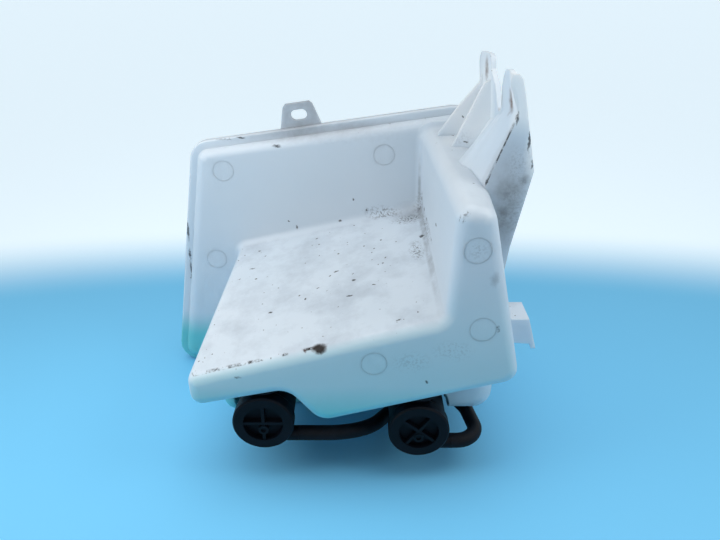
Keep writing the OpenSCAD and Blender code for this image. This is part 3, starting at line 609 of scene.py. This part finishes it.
def ejector_mark(ring, x, wall_y, z, facing):
    """A copy of the ring, with its own mesh, in its place on a wall."""
    middle = wall_y + facing * (RING_PROUD - RING_THICKNESS / 2)
    mark = bpy.data.objects.new("ejector_mark", ring.data.copy())
    scene.collection.objects.link(mark)
    mark.location = metres((x, middle, z))
    activate(mark)
    bpy.ops.object.transform_apply(location=True, rotation=True, scale=True)
    return mark


first_ring = ejector_ring()
marks = []
for wall_y, facing, places in MARKED_WALLS:
    for x, z in places:
        marks.append(ejector_mark(first_ring, x, wall_y, z, facing))
bpy.data.objects.remove(first_ring)
bpy.ops.object.select_all(action="DESELECT")
for mark in marks:
    mark.select_set(True)
bpy.context.view_layer.objects.active = marks[0]
bpy.ops.object.join()
pin_marks = bpy.context.object
pin_marks.name = "ejector_pin_marks"
paint(pin_marks, tank_plastic)
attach(pin_marks, "tank")


# Floor

# Its blue patch is an oval, whose middle lies this far along Y and whose depth is this share of its width. It
# is all blue up to the inner half depth and all white from the outer one.
PATCH_MIDDLE = -150
PATCH_DEPTH_SHARE = 0.45
PATCH_INNER = 310
PATCH_OUTER = 460
PATCH_TONE = "#78CBF5"
FAR_TONE = "#E6F4FC"
# How much whiter the far floor is shown than it is lit.
FAR_FLOOR_LIFT = 0.34
FLOOR_WIDTH = 12000
# The floor lies this far under the tank, so that no faces coincide.
FLOOR_DROP = 0.1


def ray_is_seen(tree):
    """One for rays that show the background to the eye, also in a reflection or through glass, else zero."""
    ray = add(tree, "ShaderNodeLightPath", {}, {}).outputs
    direct = add(tree, "ShaderNodeMath", {}, {0: ray["Is Camera Ray"], 1: ray["Is Glossy Ray"]},
                 operation="MAXIMUM")
    return add(tree, "ShaderNodeMath", {}, {0: direct, 1: ray["Is Transmission Ray"]}, operation="MAXIMUM")


def bench_paint():
    """Painted bench top: a dull coat, pale blue round the tank and in front of it, and white further off."""
    material, tree, shader, coords = start_material("pale_bench_paint")
    oval = add(tree, "ShaderNodeVectorMath", {1: (PATCH_DEPTH_SHARE, 1, 0), 2: (0, -PATCH_MIDDLE * MM, 0)},
               {0: coords}, operation="MULTIPLY_ADD")
    away = add(tree, "ShaderNodeVectorMath", {}, {0: oval}, operation="LENGTH")
    fade = add(tree, "ShaderNodeMapRange", {1: PATCH_INNER * MM, 2: PATCH_OUTER * MM},
               {0: away.outputs["Value"]}, interpolation_type="SMOOTHSTEP")
    colour = add(tree, "ShaderNodeMix", {6: hex_colour(PATCH_TONE), 7: hex_colour(FAR_TONE)}, {0: fade},
                 data_type="RGBA")
    lift = add(tree, "ShaderNodeMath", {1: FAR_FLOOR_LIFT}, {0: fade}, operation="MULTIPLY")
    shader.inputs["Roughness"].default_value = 0.7
    shader.inputs["Specular IOR Level"].default_value = 0.3
    shader.inputs["Emission Color"].default_value = hex_colour(FAR_TONE)
    connect(tree, shader, {"Base Color": colour.outputs[2],
                           "Emission Strength": overlap(tree, lift, ray_is_seen(tree))})
    return material


bpy.ops.object.select_all(action="DESELECT")
bpy.ops.mesh.primitive_plane_add(size=FLOOR_WIDTH * MM, location=(0, 0, -FLOOR_DROP * MM))
floor = bpy.context.object
floor.name = "floor"
paint(floor, bench_paint())


# Light: a wide soft one from straight above, a soft box on each side, and the rest from all round

CEILING_HEIGHT = 1500
CEILING_STRENGTH = 0.8
CEILING_SPREAD = 45
# Name, place and watts. Both soft boxes look at the middle of the tank.
SOFT_BOXES = [
    ("left_soft_box", (-260, -150, 330), 0.64),
    ("right_soft_box", (330, -160, 400), 0.6),
]
SOFT_BOX_WIDTH = 250
LIGHT_TARGET = Vector((0, -20, 120))
ROOM_TONE = "#EDF6FC"
# How strongly the room lights the tank, and how bright it is shown.
ROOM_LIGHT = 0.38
ROOM_SEEN = 0.95

bpy.ops.object.light_add(type="SUN", location=(0, 0, CEILING_HEIGHT * MM))
ceiling_light = bpy.context.object
ceiling_light.name = "ceiling_light"
ceiling_light.data.energy = CEILING_STRENGTH
ceiling_light.data.angle = math.radians(CEILING_SPREAD)

for box_name, box_place, watts in SOFT_BOXES:
    aim = (LIGHT_TARGET - Vector(box_place)).to_track_quat("-Z", "Y").to_euler()
    bpy.ops.object.light_add(type="AREA", location=metres(box_place), rotation=aim)
    soft_box = bpy.context.object
    soft_box.name = box_name
    soft_box.data.shape = "SQUARE"
    soft_box.data.size = SOFT_BOX_WIDTH * MM
    soft_box.data.energy = watts

world = bpy.data.worlds.new("studio")
scene.world = world
world.use_nodes = True
room = world.node_tree
background = room.nodes["Background"]
background.inputs["Color"].default_value = hex_colour(ROOM_TONE)
brightness = add(room, "ShaderNodeMapRange", {3: ROOM_LIGHT, 4: ROOM_SEEN}, {0: ray_is_seen(room)})
connect(room, background, {"Strength": brightness})
scene.view_settings.view_transform = "Standard"
